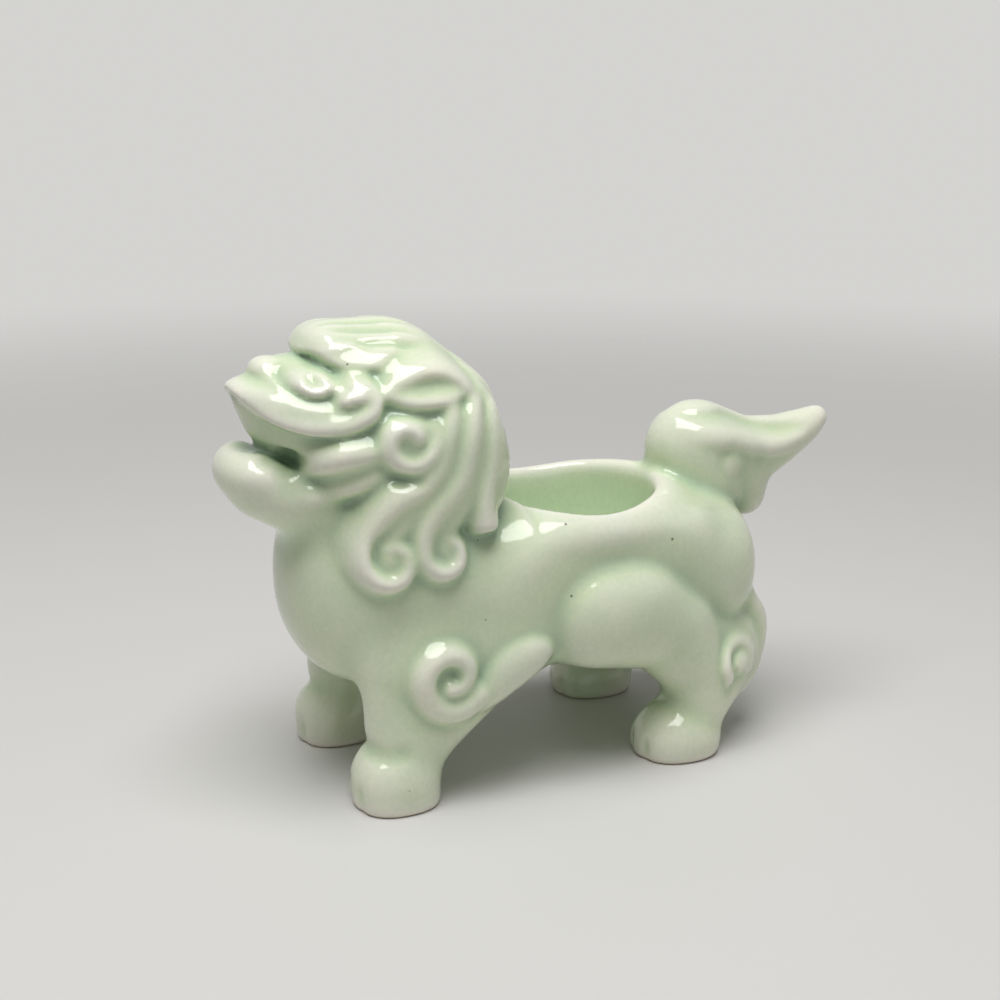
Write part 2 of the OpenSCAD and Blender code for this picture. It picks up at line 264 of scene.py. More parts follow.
def stroke(points, power=ROUND, across=X, up=Z):
    """A rounded band along points (across, up, half width, height)."""
    line = smooth_path(points, 6)
    out = np.zeros((len(across), len(up)), np.float32)
    for a, b in zip(line, line[1:]):
        wide = max(a[2], b[2])
        i0, i1 = np.searchsorted(across, [min(a[0], b[0]) - wide, max(a[0], b[0]) + wide])
        k0, k1 = np.searchsorted(up, [min(a[1], b[1]) - wide, max(a[1], b[1]) + wide])
        sx, sz = across[i0:i1, None], up[None, k0:k1]
        d = b[:2] - a[:2]
        t = np.clip(((sx - a[0]) * d[0] + (sz - a[1]) * d[1]) / max(float(d @ d), 1e-9), 0, 1)
        away = (sx - a[0] - t * d[0]) ** 2 + (sz - a[1] - t * d[1]) ** 2
        half, rise = a[2] + (b[2] - a[2]) * t, a[3] + (b[3] - a[3]) * t
        part = out[i0:i1, k0:k1]
        np.maximum(part, rise * np.maximum(1 - away / half ** 2, 0) ** power, out=part)
    return out


def strokes(lines, sizes, power=ROUND, across=X, up=Z):
    """Bands along several lines of places, all with the same (half width, height) sizes."""
    out = np.zeros((len(across), len(up)), np.float32)
    for line in lines:
        out = np.maximum(out, stroke([p + size for p, size in zip(line, sizes)], power, across, up))
    return out


def highest(*heights):
    out = heights[0]
    for height in heights[1:]:
        out = np.maximum(out, height)
    return out


def disc(c, r, soft):
    """1 inside an ellipse, 0 outside, over a soft edge in millimetres."""
    q = np.sqrt(((side_x - c[0]) / r[0]) ** 2 + ((side_z - c[1]) / r[1]) ** 2)
    return step_up((1 - q) * min(r) / soft + 0.5)


# The forms, as in the CAD model


def on_body(x, y, z):
    return BODY_AT[0] + x, y, BODY_AT[1] + z


def on_head(x, y, z):
    return HEAD_AT[0] + x, y, HEAD_AT[1] + z


def on_tail(x, y, z):
    return TAIL_AT[0] + x, y, TAIL_AT[1] + z


def trunk():
    """Chest, withers, loin and rump, with the broad back that holds the well."""
    chest = (on_body(-40, 0, 26), (22.3, 25.5, 25), 2.3)
    withers = (on_body(-16, 0, 21.5), (22, 28.5, 20), 2.8)
    loin = (on_body(14, 0, 21), (22, 29, 20.5), 2.8)
    rump = (on_body(37.5, 0, 20.5), (21, 27, 21), 2.2)
    back = ((CUP_X, 0, 47), (33, 29.4, 17.2), 4.2)
    form = add_chain(empty(), [chest, withers, loin, rump], spacing=3.0)
    return blur(add_block(form, back, fillet=5.0), soft=2.2)


def skull():
    """The skull with the mass of the mane, set in by the height of the cap of hair."""
    mane = (on_head(43.4, 0, 24), (19.9, 26.5, 23.5), 3.2)
    crown = (on_head(37, 0, 37.5), (19, 21, 18.5), 2.2)
    forehead = (on_head(27, 0, 48.7), (7.9, 14, 7.2), 2.3)
    form = empty()
    for a, b in ((mane, crown), (crown, forehead), (mane, forehead)):
        add_sweep(form, a, b)
    return blur(form, soft=1.4) + HAIR


# The upper jaw is drawn by its lines along X: half width, edge of the lip and ridge
LIP_PLAN = ((-77.9, 0.4), (-77, 3.6), (-75.6, 7), (-71.6, 13), (-67.1, 17), (-63, 19.5),
            (-57.2, 21.3), (-50, 22.6))
LIP_EDGE = ((-77.9, 93.9), (-75.6, 91.8), (-71.6, 88.5), (-67.1, 86.9), (-63, 86.2),
            (-57.2, 86.5), (-50, 88.6))
LIP_RIDGE = ((-77.9, 94.4), (-75.6, 96.2), (-71.6, 98), (-67.1, 99.4), (-63, 100),
             (-57.2, 100.3), (-50, 100.5))
LIP_TIP, LIP_BACK = -78.3, -49.0
LIP_ARCH = 2.2
# The gum: its front at the height GUM_Z, its radius in plan, how much it leans back, and its ends
GUM_FRONT, GUM_Z, GUM_R, GUM_LEAN = -72.9, 84, 13, 0.42
GUM_SLANT = 1.18
GUM_BOTTOM, GUM_TOP, GUM_BACK = 78, 92, -60
# The gap of the mouth: its front, its height there, and how it falls and widens inwards
MOUTH_FRONT, MOUTH_Z, MOUTH_HALF = -72.5, 82.1, 0.8
MOUTH_FALL, MOUTH_WIDEN, MOUTH_REACH = 0.4, 0.22, 8
MOUTH_BACK = -64.5
MUZZLE = window((-79.5, -24, 78), (-46, 0, 103), 2)
muzzle_x, muzzle_y, muzzle_z = coords(MUZZLE)


def lip_shield(x, y, z):
    """A shield with an elliptical section, arched below and ending in the edge of the lip."""
    plan, edge, ridge = (curve(line, x) for line in (LIP_PLAN, LIP_EDGE, LIP_RIDGE))
    height = np.maximum(ridge - edge, 0.8)
    qy, qz = np.abs(y) / plan, np.maximum(z - edge, 0) / height
    g = np.sqrt(qy ** 2 + qz ** 2) + TINY
    slope_x = np.gradient(plan[:, 0, 0], STEP)[:, None, None] * np.abs(y) / plan ** 2
    slope = np.sqrt((qy / plan) ** 2 + (qz / height) ** 2 + (qy * slope_x) ** 2) / g
    dome = (g - 1) / (slope + TINY)
    under = edge + np.minimum(LIP_ARCH, 0.4 * height) * (1 - np.minimum(qy, 1)) - z
    form = empty()
    form[MUZZLE] = both(clipped(dome), clipped(under), fillet=1.2)
    form[MUZZLE] = both(form[MUZZLE], x - LIP_BACK, fillet=4.0)
    form[MUZZLE] = both(form[MUZZLE], LIP_TIP - x, fillet=1.0)
    return form


def gum_face(x, y, z):
    """Distance in front of the gum, which is curved in plan and leans back."""
    front = y * y / (2 * GUM_R) - (x - GUM_FRONT + GUM_LEAN * (z - GUM_Z))
    return front / np.sqrt(GUM_SLANT + (y / GUM_R) ** 2)


def gum(x, y, z):
    """The gum under the lip, set in towards the mouth."""
    form = both(gum_face(x, y, z), GUM_BOTTOM - z, fillet=1.5)
    form = both(form, x - GUM_BACK, fillet=4.0)
    return both(form, z - GUM_TOP, fillet=1.0)


def mouth_gap(x, y, z):
    """The mouth, open between gum and lower lip, wider and lower towards its back."""
    face = gum_face(x, y, z)
    inward = np.clip(x - MOUTH_FRONT, 0, MOUTH_REACH)
    gap = np.abs(z - MOUTH_Z + MOUTH_FALL * inward) - MOUTH_HALF - MOUTH_WIDEN * inward
    behind = -face - 0.5 - 0.7 * np.clip(x + 69.5, 0, 6)
    before = face - 1.5
    gap = both(gap, np.maximum(behind, before), fillet=0.8)
    return both(gap, x - MOUTH_BACK, fillet=2.0)


def nose():
    tip = (on_head(13.2, 0, 45.6), (4.2, 5.2, 3.2), 2.4)
    bridge = (on_head(19, 0, 45.2), (4.5, 7.5, 3.8), 2.2)
    return add_sweep(empty(), tip, bridge, spacing=1.5)


def head():
    """Skull, cheeks and upper jaw with gum and nose."""
    cheeks = (on_head(34, 0, 30), (20, 22.3, 18), 2.2)
    muzzle = (muzzle_x, muzzle_y, muzzle_z)
    upper = empty()
    upper[MUZZLE] = join(lip_shield(*muzzle)[MUZZLE], clipped(gum(*muzzle)), fillet=0.8)
    upper = join(upper, nose(), fillet=1.6)
    form = join(skull(), add_block(empty(), cheeks), fillet=3.0)
    return join(form, blur(upper, soft=0.5), fillet=1.6)


def lower_jaw():
    """Lower lip, chin and throat, dished where the mouth is."""
    lip = (on_head(9.1, 0, 23.4), (8.7, 13.4, 7), 2.1)
    chin = (on_head(14, 0, 20), (11, 14.6, 8.4), 2.1)
    throat = (on_head(29, 0, 15), (13, 18, 12), 2.0)
    dish = (on_head(9.5, 0, 33.2), (7, 9.5, 5.4), 2.0)
    form = blur(add_chain(empty(), [lip, chin, throat], spacing=1.5), soft=1.0)
    return cut(form, add_block(empty(), dish), fillet=2.5)


# The head's relief in side view: locks of the mane, two ending in curls, over lower ones that fill the gaps
LOCK_A = ((-33.6, 90.9, 2.4, 2.2), (-35.2, 85.3, 3, 2.9), (-38, 78.3, 3.6, 3.4), (-41.9, 74.3, 4, 3.7),
          (-47, 71.9, 4.1, 4), (-51.4, 68.2, 3.9, 4.3), (-54.4, 64.4, 3.4, 4.4))
LOCK_A += curl((-49.4, 58.8), (6.5, 160), (2.4, 465), (3.1, 2.2), (4.5, 3.4))
LOCK_B = ((-27.5, 91.4, 2.6, 2.2), (-29.2, 85.9, 3.2, 2.9), (-30.1, 82.8, 3.5, 3.2), (-32.2, 76, 3.9, 3.6),
          (-35.4, 71.7, 4.2, 3.8), (-39.4, 67.8, 4.1, 4), (-41.7, 64, 3.4, 4.2))
LOCK_B += curl((-36.9, 59.5), (5.2, 182), (2.7, 425), (3, 2), (4.3, 3.3))
LOCK_C = ((-22.6, 89.3, 2.4, 2.2), (-22.8, 84.1, 3.1, 2.9), (-24.2, 76.9, 3.9, 3.4), (-25.8, 72.2, 4.1, 3.8),
          (-26.5, 68, 4.2, 4.3), (-26.6, 64.6, 4.3, 4.5))
LOCK_C_END = 61.4
LOCK_D = ((-18.8, 84, 1.8, 2), (-18.2, 77, 2.2, 2.6), (-18.8, 72, 2.2, 2.4), (-19.6, 68, 1.8, 1.4))
UNDER_A = ((-31.5, 88, 3, 1.6), (-33.2, 81, 4.5, 2.4), (-37, 74.5, 5, 2.7), (-42, 70.6, 5, 2.9),
           (-46.6, 66.6, 4.8, 2.9), (-49.4, 62.4, 4, 2.8), (-49.4, 58.8, 3.8, 3.1))
UNDER_B = ((-25.5, 86, 3, 1.8), (-27.2, 79, 4.2, 2.4), (-30.5, 72.6, 5, 2.8), (-35, 67.5, 5, 2.9),
           (-37.4, 63.4, 4, 2.8), (-36.9, 59.5, 3.4, 3))
UNDER_C = ((-21.6, 82, 3, 2), (-22.6, 74, 4, 2.6), (-23.4, 68.5, 4, 2.6))
CHEEK_CURL = ((-38.3, 87.6, 1.8, 1.8), (-38.4, 84.5, 2.2, 3))
CHEEK_CURL += curl((-44.8, 84.3), (5.7, -30), (2.4, -335), (2.6, 2.4), (3.9, 3.6))
LOCKS = (LOCK_A, LOCK_B, LOCK_D, CHEEK_CURL)
UNDER_LOCKS = (UNDER_A, UNDER_B, UNDER_C)
# The edge of the upper lip curls up behind the eye
LIP_CURL = ((-74.5, 91.2, 0.6, 0), (-69.5, 88.4, 1.6, 0.3), (-64.9, 87.6, 2, 0.6), (-60.1, 87.7, 2.2, 0.9),
            (-56.2, 88.3, 2.2, 1.3))
LIP_CURL += curl((-54.2, 94), (4.2, -74), (2.4, 180), (2.3, 2.2), (1.9, 2.8))
# The ear is a fold over a lip, with a groove above it
EAR_FOLD = ((-47.4, 95.2, 2.4, 2.5), (-43.6, 97.6, 3.3, 3.7), (-39.5, 99, 3.6, 4.5), (-35.2, 99, 3.6, 4.6),
            (-31.6, 97.3, 3.2, 4), (-29.3, 95.1, 2.5, 3.1), (-27.8, 93, 1.6, 2))
EAR_LIP = ((-47.6, 94.3, 2.2, 2.3), (-43.7, 93.1, 2.6, 2.9), (-40.2, 92.6, 2.6, 3.1), (-36.5, 92.7, 2.6, 3.1),
           (-32.6, 93.3, 2.3, 2.6), (-29, 93.6, 1.6, 1.9))
EAR_GROOVE = ((-47, 98.4, 1.2, 0.6), (-43.2, 100.9, 1.3, 1.2), (-39.7, 102.3, 1.3, 1.2),
              (-34, 102.3, 1.3, 0.6), (-30, 100.5, 1.2, 0))
# Two rolls of the jowl, and the grooves and hollows of the face
JOWL_1 = ((-63.6, 79.4, 3.4, 2.8), (-61, 80.3, 3.9, 3.5), (-57.3, 81.4, 4, 3.6), (-53.8, 82.1, 3.6, 3),
          (-51, 82.4, 3, 2), (-48.6, 82.6, 2.2, 0.8))
JOWL_2 = ((-63, 71.8, 2.4, 1.4), (-58.3, 73.3, 3.1, 2.4), (-54.9, 74.9, 3.2, 2.5), (-51.6, 76.8, 2.8, 1.6))
JOWL_POWER = 0.8
JOWL_GROOVE = ((-52.4, 83, 1.6, 0.3), (-50.9, 79, 2, 1.3), (-47.2, 76.4, 2, 1.5), (-42.6, 76, 1.6, 0.8))
CHIN_HOLLOW = ((-69, 78, 2.4, 0.5), (-68.7, 75, 2.8, 0.7), (-69, 71.5, 2.4, 0.2))
NOSE_GROOVE = ((-75, 96.4, 1.2, 0.3), (-73, 96.6, 1.5, 0.9), (-70.6, 96.2, 1.5, 0.9), (-68.6, 95, 1.3, 0.3))
# Clay in the middle of the cheek curl, the ear and the lip curl, as height, centre, radii, soft edge
FILLS = ((2.0, (-43.7, 84.6), (6, 5), 1.5),
         (2.4, (-37.5, 95.8), (9, 3.2), 1.8),
         (2.6, (-54.5, 95), (3, 2.3), 1.4))
# The cap of hair ends in an edge over brow and ear, and has two combed grooves
CAP_EDGE = ((-90, 101.8), (-62, 101.6), (-59.5, 100.4), (-57.3, 99.3), (-52, 98.9), (-46, 98.8),
            (-43.2, 100.6), (-39.7, 102), (-32.9, 101.9), (-28.5, 99.3), (-26.5, 95.5), (-23, 91),
            (-16, 87), (0, 84))
CAP_FRONT = -62.8
GROOVES = (((-59.5, 103.4), (-56.7, 105), (-52.7, 105.9), (-49.3, 106.2), (-45, 106.4), (-41, 105.8)),
           ((-57, 101.8), (-54.3, 102.5), (-51, 103), (-47, 103.7), (-43, 104), (-38.5, 103.2)))
GROOVE_HALF, GROOVE_DEEP = 1.1, 0.8
GROOVE_FADE = (0.5, 1, 1, 1, 0.8, 0)
# The eye, its pupil, and the crease round it, which lies at a multiple of the eye's radii
EYE_AT, EYE_R, EYE_HIGH, EYE_POWER = (-61.8, 96.9), (4.7, 3), 2.5, 0.45
PUPIL_AT, PUPIL_R, PUPIL_DEEP = (-62.3, 97.1), (1.7, 1.2), 1.8
EYE_CREASE_AT, EYE_CREASE_HALF, EYE_CREASE_DEEP = 1.18, 0.22, 1.1
eye_q = ((side_x - EYE_AT[0]) / EYE_R[0]) ** 2 + ((side_z - EYE_AT[1]) / EYE_R[1]) ** 2


def hair_cap():
    """The cap of hair, with a crisp edge in front that fades out down the nape."""
    edge_soft = 1.1 + 15 * rise(side_x, start=-30, over=9)
    cap = HAIR * step_up((side_z - curve(CAP_EDGE, side_x)) / edge_soft + 0.5)
    cap = cap * rise(side_x, CAP_FRONT, over=0.8)
    for groove in GROOVES:
        band = [p + (GROOVE_HALF, GROOVE_DEEP * fade) for p, fade in zip(groove, GROOVE_FADE)]
        cap = cap - stroke(band, PLAIN)
    return np.maximum(cap, 0)


def with_eye(relief):
    """The relief with an almond eye, its pupil and a crease round it."""
    eye = EYE_HIGH * np.maximum(1 - eye_q, 0) ** EYE_POWER
    eye = eye - PUPIL_DEEP * disc(PUPIL_AT, PUPIL_R, 0.8) * (eye_q < 1)
    round_eye = np.exp(-((np.sqrt(eye_q) - EYE_CREASE_AT) / EYE_CREASE_HALF) ** 2)
    relief = relief - EYE_CREASE_DEEP * round_eye
    return np.where(eye_q < 1, np.maximum(relief, eye), relief)


def head_relief():
    relief = hair_cap() - stroke(EAR_GROOVE, PLAIN)
    relief = highest(relief, *(stroke(band) for band in UNDER_LOCKS))
    relief = highest(relief, stroke(LOCK_C, FULL) * rise(side_z, LOCK_C_END, over=1.4))
    relief = highest(relief, *(stroke(band, FULL) for band in LOCKS))
    relief = relief - stroke(JOWL_GROOVE, PLAIN)
    relief = highest(relief, *(stroke(band) for band in (LIP_CURL, EAR_FOLD, EAR_LIP)))
    jowls = highest(stroke(JOWL_1, JOWL_POWER), stroke(JOWL_2, JOWL_POWER))
    relief = highest(relief, blur(jowls, soft=0.7))
    relief = highest(relief, *(high * disc(c, r, soft) for high, c, r, soft in FILLS))
    relief = with_eye(relief) - stroke(CHIN_HOLLOW, PLAIN) - stroke(NOSE_GROOVE, PLAIN)
    return blur(relief.astype(np.float32), soft=0.55)


# Locks down the nape, drawn in back view, and combed lines over the crown, drawn from above
NAPE = (((-2.4, 102), (-2.7, 94), (-2.9, 85), (-3.1, 77), (-3.4, 70)),
        ((-7, 101), (-8, 94), (-8.8, 85), (-9.4, 77), (-10, 69.6)),
        ((-11.6, 99), (-13.2, 93), (-14.6, 85), (-15.6, 77), (-16.4, 69.6)),
        ((-16, 96), (-18.4, 90), (-20.2, 83), (-21.4, 76), (-22.2, 69.6)))
NAPE_SIZES = ((1.8, 0), (2.5, 0.8), (2.9, 1.5), (3.1, 1.8), (2.4, 1.3))
COMB = (((-57, -2.6), (-50, -3.2), (-42, -3.8), (-34, -4.2)),
        ((-56.5, -6.6), (-50, -7.8), (-42, -8.8), (-34, -9.4)),
        ((-55, -10.4), (-49, -12), (-42, -13.2), (-35, -14)))
COMB_SIZES = ((1, 0.3), (1.1, 0.9), (1.1, 0.9), (1, 0))
nape = blur(strokes(NAPE, NAPE_SIZES, FULL, Y, Z), soft=0.45)
comb = blur(strokes(COMB, COMB_SIZES, PLAIN, X, Y), soft=0.4)


def open_mouth(form):
    """The corner of the mouth is hollowed, and the gap cut between gum and lower lip."""
    lip_corner = ((-70.6, -14.6, 80.6), (3.4, 6, 2), 2.0)
    cheek_corner = ((-67.2, -16, 79.5), (2.8, 6, 2.6), 2.0)
    corner = add_block(add_block(empty(), lip_corner), cheek_corner, fillet=1.5)
    form = cut(form, corner, fillet=2.6)
    gap = clipped(mouth_gap(muzzle_x, muzzle_y, muzzle_z))
    form[MUZZLE] = cut(form[MUZZLE], gap, fillet=1.0)
    return form


# Legs and tail


def leg_block(centre, radii, n=2.0):
    return tuple(centre), tuple(LEG * r for r in radii), n


# The crease over the front paw, and the ridge from hock to heel in parts of LEG
PAW_CREASE = ((-54, -15, 15.4), (-55.8, -20, 14.9), (-54.9, -25, 14.5), (-52.2, -28.4, 14),
              (-48.6, -29.6, 14.6))
HOCK_RIDGE = ((0.3, 0, 0.66), (0.5, 0, 0.34), (0.46, -0.05, -0.08), (0.2, -0.15, -0.5))
HEEL_RIDGE = (0.2, -0.1, 0.1)


def foreleg():
    """Paw, leg and the web back to the elbow, with a crease over the paw."""
    shoulder, elbow = on_body(-36, -20.5, 9), on_body(-14, -21, 10)
    wrist = leg_block(FORE_PAW + (0, 0, 6.75), (0.52, 0.5, 0.2))
    shin = leg_block(FORE_PAW + (4.2, 0, 14), (0.62, 0.46, 0.3))
    upper_arm = leg_block(shoulder, (0.8, 0.42, 0.6))
    web_end = leg_block(elbow, (0.4, 0.4, 0.36))
    shoulder_blade = leg_block(on_body(-30, -12, 16), (0.8, 0.5, 0.6))
    paw = (tuple(FORE_PAW + (0, 0, 3.9)), (10, 9.8, 10.6), 2.4)
    form = add_sweep(empty(), wrist, shin)
    web_steps = 4
    for i in range(web_steps + 1):
        add_sweep(form, shin, between(upper_arm, web_end, i / web_steps))
    add_sweep(form, upper_arm, web_end)
    add_sweep(form, leg_block(shoulder, (0.7, 0.5, 0.6)), shoulder_blade)
    form = join(blur(form, soft=1.6), add_block(empty(), paw), fillet=2.5)
    crease = smooth_path(PAW_CREASE, 6)
    radii = 1.0 + 0.5 * np.sin(np.linspace(0, math.pi, len(crease)))
    return cut(form, add_tube(empty(), crease, radii), fillet=2.4)


def hindleg():
    """Haunch, shank, hock with the ridge behind it, heel and paw."""
    knee, hock = on_body(26, -20.5, 11), np.array(on_body(47, -15.5, 0))
    haunch = leg_block(on_body(11, -20.5, 17), (1.08, 0.78, 0.8), 2.2)
    shank = leg_block(HIND_PAW + (5, 0, 20.25), (0.45, 0.5, 0.42))
    heel = leg_block(HIND_PAW + (6, 0, 11.25), (0.45, 0.5, 0.35))
    paw = (tuple(HIND_PAW + (0.3, 0, 2.9)), (10.6, 9.8, 7.7), 2.3)
    instep = (tuple(HIND_PAW + (2, 0, 6.2)), (8.8, 8.8, 7.6), 2.0)
    form = add_chain(empty(), [haunch, leg_block(knee, (0.72, 0.65, 0.64)), shank, heel], spacing=2.0)
    behind = [leg_block(knee, (0.6, 0.5, 0.6)), leg_block(hock, (0.48, 0.5, 0.62)), heel]
    form = blur(add_chain(form, behind, spacing=2.0), soft=1.6)
    ridge = [hock + LEG * np.array(p) for p in HOCK_RIDGE]
    ridge.append(np.array(heel[0]) + LEG * np.array(HEEL_RIDGE))
    ridge = smooth_path(ridge, 6)
    radii = np.linspace(3.2, 2.3, len(ridge))
    form = join(form, add_tube(empty(), ridge, radii), fillet=3.0)
    toes = add_block(add_block(empty(), paw), instep, fillet=4.0)
    return join(form, toes, fillet=2.5)


# A fold runs along the side of the plume over a raised lip, with two creases and a boss below it
FOLD = ((33, 80, 1.4, 0), (37.9, 78.9, 1.6, 0.7), (47.3, 78, 1.8, 1.4), (55.4, 75.2, 1.9, 1.6),
        (62, 73.6, 1.8, 1.4), (70.2, 73.4, 1.5, 0.5))
FOLD_LIP = ((36, 75.2, 2.6, 0.2), (45, 73.6, 3.2, 1.2), (54, 71.2, 3.4, 1.6), (62, 69.6, 3, 1.3),
            (70, 70.6, 2.2, 0.3))
TAIL_CREASES = (((42.6, 64.6, 1.6, 0.1), (43.2, 69, 1.8, 0.25), (47, 71.2, 1.8, 0.25), (50.6, 69, 1.6, 0.1)),
                ((54.7, 70.1, 1.8, 0.1), (55.4, 67, 2, 0.3), (55.5, 63.2, 1.8, 0.1)))
TAIL_BOSS_AT, TAIL_BOSS_R, TAIL_BOSS_HIGH = (46.9, 66.7), (2.7, 2.7), 0.6


def tail_relief():
    relief = stroke(FOLD_LIP) - stroke(FOLD, PLAIN)
    relief = relief + TAIL_BOSS_HIGH * disc(TAIL_BOSS_AT, TAIL_BOSS_R, 2.6)
    for crease in TAIL_CREASES:
        relief = relief - stroke(crease, PLAIN)
    return blur(relief.astype(np.float32), soft=0.5)


def tail():
    """Round root, plume and lower lobe. The relief fades out towards the middle."""
    root = (on_tail(12.5, 0, 20), (12.8, 11, 11.8), 2.0)
    foot = (on_tail(13, 0, 12), (13.2, 11.6, 11), 2.0)
    plume = [root,
             (on_tail(25, 0, 16.5), (10.5, 9, 10), 2.0),
             (on_tail(36.5, 0, 18.9), (6.6, 6.6, 6.9), 2.0),
             (on_tail(44.5, 0, 21.8), (4.8, 5.2, 4.9), 2.0),
             (on_tail(49.3, 0, 24.3), (3.1, 3.4, 3.3), 2.0)]
    lobe = [root,
            (on_tail(25, 0, 12), (9, 8.5, 8), 2.0),
            (on_tail(27.8, 0, 6.5), (5.5, 6, 6.3), 2.0)]
    form = add_chain(empty(), plume, spacing=1.5)
    add_sweep(form, root, foot)
    add_chain(form, lobe, spacing=1.5)
    return blur(form, soft=1.2) - tail_relief()[:, None, :] * rise(-y, start=0.5, over=4)


# Well, flank, scrolls and toes

radius = np.sqrt((x - CUP_X) ** 2 + y * y)
FLANK = ((-9.8, 34, 12, 0.8), (-5.2, 45, 17, 1.7), (4.6, 49.5, 19, 1.9), (15.2, 45.4, 18, 2),
         (25.6, 36.6, 13, 1.9), (32.6, 29.4, 8, 0.8))
SCROLL = curl((-37, 31.1), (8.6, -38), (2.7, -455), (3.7, 2.4), (2.6, 2.6), 14)
FLAME = ((-29.4, 23.6, 2.8, 1.4), (-25.6, 27, 5, 2.3), (-21.8, 30.2, 6, 2.7), (-18, 32.3, 5.6, 2.6),
         (-15.2, 33.2, 4.2, 2))
HOCK_CURL = curl((39.6, 22.2), (4.8, 215), (4.5, -35), (2.2, 2.1), (2.1, 1.5))
HOCK_BOSS_AT, HOCK_BOSS_R, HOCK_BOSS_HIGH = (40, 22), (2.9, 2.7), 2.1
TOE_CREASE_R, TOE_CREASE_Z, TOE_REACH = (2, 0.7, 4), 2.5, 11.2
VENT_X, VENT_R, VENT_TOP = -29.25, 1.75, 30.0
# In front of NECK_X the back is not levelled: there the level is lifted above the head
NECK_X, ABOVE_ALL = -14, 60
scroll_relief = highest(stroke(SCROLL), stroke(FLAME))
hock_relief = highest(stroke(HOCK_CURL), HOCK_BOSS_HIGH * disc(HOCK_BOSS_AT, HOCK_BOSS_R, 1.8))


def set_rim(form):
    """The back is level round the well and dips a little on both sides. The rolled rim stands on it."""
    rim_top = RIM_Z - RIM_DIP * (y / CUP_R) ** 2
    neck = np.clip((NECK_X - x) / 6, 0, 1)
    over = z - rim_top - 0.3 - ABOVE_ALL * neck
    form = both(form, clipped(over), fillet=3.0)
    roll = np.sqrt((radius - CUP_R - RIM_ROLL) ** 2 + (z - (rim_top - RIM_ROLL)) ** 2) - RIM_ROLL
    return join(form, roll, fillet=7.0)


def hollow_flank(form):
    """The flank falls in above the haunch, so that the haunch stands proud."""
    hollow = blur(stroke(FLANK, power=2.0), soft=0.8)
    return form + hollow[:, None, :] * rise(-y, start=12, over=8)


def add_scrolls(form):
    """Scroll and flame on the shoulder and curl on the hock, on the outer side only."""
    relief = blur(highest(scroll_relief, hock_relief).astype(np.float32), soft=0.45)
    return form - relief[:, None, :] * rise(-y, start=14, over=6)


def part_toes(form):
    """Two shallow creases down the front of each paw."""
    for paw in (FORE_PAW, HIND_PAW):
        for side in (-3.4, 3.4):
            crease = ((paw[0] - TOE_REACH, paw[1] + side, TOE_CREASE_Z), TOE_CREASE_R, 2.0)
            form = cut(form, add_block(empty(), crease), fillet=1.6)
    return form


def cut_holes(form):
    """The well and the vent hole under the belly."""
    well = np.maximum(radius - CUP_R, CUP_FLOOR - z)
    form = cut(form, well, fillet=2.8)
    vent = np.maximum(np.sqrt((x - VENT_X) ** 2 + y * y) - VENT_R, z - VENT_TOP)
    return cut(form, vent, fillet=0.8)


# The figure, put together

fields = {"torso_shell": trunk(), "head_shell": head(), "lower_jaw": lower_jaw(), "foreleg": foreleg(),
          "hindleg": hindleg(), "tail": tail()}
LEG_FILLETS = {"hindleg": 1.8, "foreleg": 7.0, "tail": 2.2}

body = join(fields["head_shell"], fields["lower_jaw"], fillet=1.6)
body = join(body, fields["torso_shell"], fillet=5.0)
body = body - head_relief()[:, None, :]
body = body - nape[None, :, :] * rise(x, start=-33, over=9) * rise(-x, start=11, over=4)
body = body + comb[:, :, None] * rise(z, start=99, over=3)
body = hollow_flank(set_rim(open_mouth(body)))
for name, fillet in LEG_FILLETS.items():
    body = join(body, fields[name], fillet)
body = cut_holes(part_toes(add_scrolls(body)))
body = blur(body, soft=0.45)
# The flat under the feet
body = cut(body, z, fillet=0.8)


# Which piece each point belongs to

CORE = ("torso_shell", "head_shell", "lower_jaw", "tail", "foreleg", "hindleg")
ORNAMENTS = ("eye", "ear", "mane", "shoulder_scroll", "hock_scroll")
SIDED = {"foreleg", "hindleg", *ORNAMENTS}
NAMES = [None, "candle_cup"]
left_of, right_of = {}, {}
for name in CORE + ORNAMENTS:
    left_of[name] = len(NAMES)
    NAMES.append(name + "_left" if name in SIDED else name)
    right_of[name] = len(NAMES) if name in SIDED else left_of[name]
    if name in SIDED:
        NAMES.append(name + "_right")
# How deep applied clay goes, and how far inwards from the side each kind may lie
SKIN = 2.6
APPLIED = (("lower_jaw", highest(stroke(JOWL_1), stroke(JOWL_2)), -8),
           ("mane", highest(*(stroke(band) for band in (*LOCKS, LOCK_C, *UNDER_LOCKS))), -6),
           ("ear", highest(stroke(EAR_FOLD), stroke(EAR_LIP)), -6),
           ("eye", np.maximum(1 - eye_q, 0), -4),
           ("shoulder_scroll", scroll_relief, -18),
           ("hock_scroll", hock_relief, -16))
SMALL = ("eye", "hock_scroll")


def patch(height, spread):
    """The outline of applied clay, with the gaps between its strokes closed."""
    return blur((height > 0).astype(np.float32), spread) > 0.4


def owners():
    """The number of the piece that each point of the left half belongs to."""
    owner = np.zeros(SHAPE, np.uint8)
    best = np.full(SHAPE, np.inf, np.float32)
    for name in CORE:
        better = fields[name] < best
        owner[better] = left_of[name]
        best[better] = fields[name][better]
    shallow = body > -SKIN
    for name, height, inner in APPLIED:
        spread = 0.3 if name in SMALL else 1.0
        owner[shallow & patch(height, spread)[:, None, :] & (y < inner)] = left_of[name]
    owner[shallow & (nape > 0)[None, :, :] & (x > -24) & (x < -12)] = left_of["mane"]
    cup = (radius < CUP_R + CUP_WALL) & (z > CUP_BOTTOM)
    owner[np.broadcast_to(cup, SHAPE)] = NAMES.index("candle_cup")
    return owner


def mirrored(half):
    return np.concatenate([half, half[:, ::-1]], axis=1)


